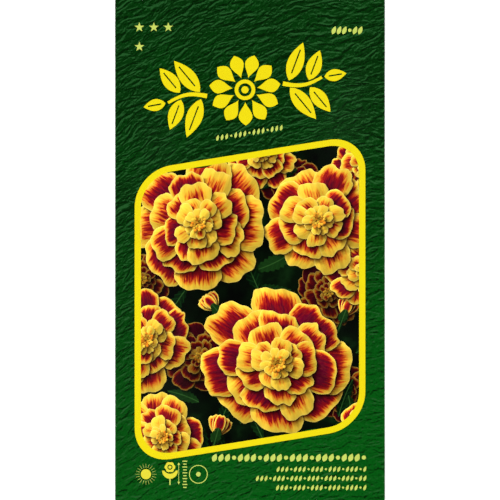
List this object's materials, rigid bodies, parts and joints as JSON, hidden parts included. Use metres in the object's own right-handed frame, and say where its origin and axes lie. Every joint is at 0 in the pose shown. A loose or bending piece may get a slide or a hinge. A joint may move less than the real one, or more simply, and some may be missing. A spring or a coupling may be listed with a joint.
{
  "type": "seed packet",
  "caption": "Sealed printed paper packet of flower seed: a flat folded envelope with a lapped back seam and glued flaps, holding a heat-sealed sachet of slender seeds.",
  "frame": {"origin": "on the surface that the packet lies on, under its middle", "axes": "+X across the printed front to the right, +Y along the packet to its top edge, +Z out of the printed front"},
  "size_m": [0.086, 0.16, 0.0033],
  "materials": {
    "printed_paper": "satin",
    "sachet_paper": "satin",
    "seed_coat": "matte"
  },
  "bodies": {
    "root": {"packet_sheet": "printed_paper", "sachet": "sachet_paper", "seed_01": "seed_coat", "seed_02": "seed_coat", "seed_03": "seed_coat", "seed_04": "seed_coat", "seed_05": "seed_coat", "seed_06": "seed_coat", "seed_07": "seed_coat", "seed_08": "seed_coat", "seed_09": "seed_coat", "seed_10": "seed_coat", "seed_11": "seed_coat", "seed_12": "seed_coat", "seed_13": "seed_coat", "seed_14": "seed_coat", "seed_15": "seed_coat", "seed_16": "seed_coat", "seed_17": "seed_coat", "seed_18": "seed_coat", "seed_19": "seed_coat", "seed_20": "seed_coat", "seed_21": "seed_coat", "seed_22": "seed_coat", "seed_23": "seed_coat", "seed_24": "seed_coat", "seed_25": "seed_coat", "seed_26": "seed_coat", "seed_27": "seed_coat", "seed_28": "seed_coat", "seed_29": "seed_coat", "seed_30": "seed_coat", "seed_31": "seed_coat", "seed_32": "seed_coat", "seed_33": "seed_coat", "seed_34": "seed_coat", "seed_35": "seed_coat", "seed_36": "seed_coat", "seed_37": "seed_coat", "seed_38": "seed_coat", "seed_39": "seed_coat", "seed_40": "seed_coat"}
  },
  "joints": []
}
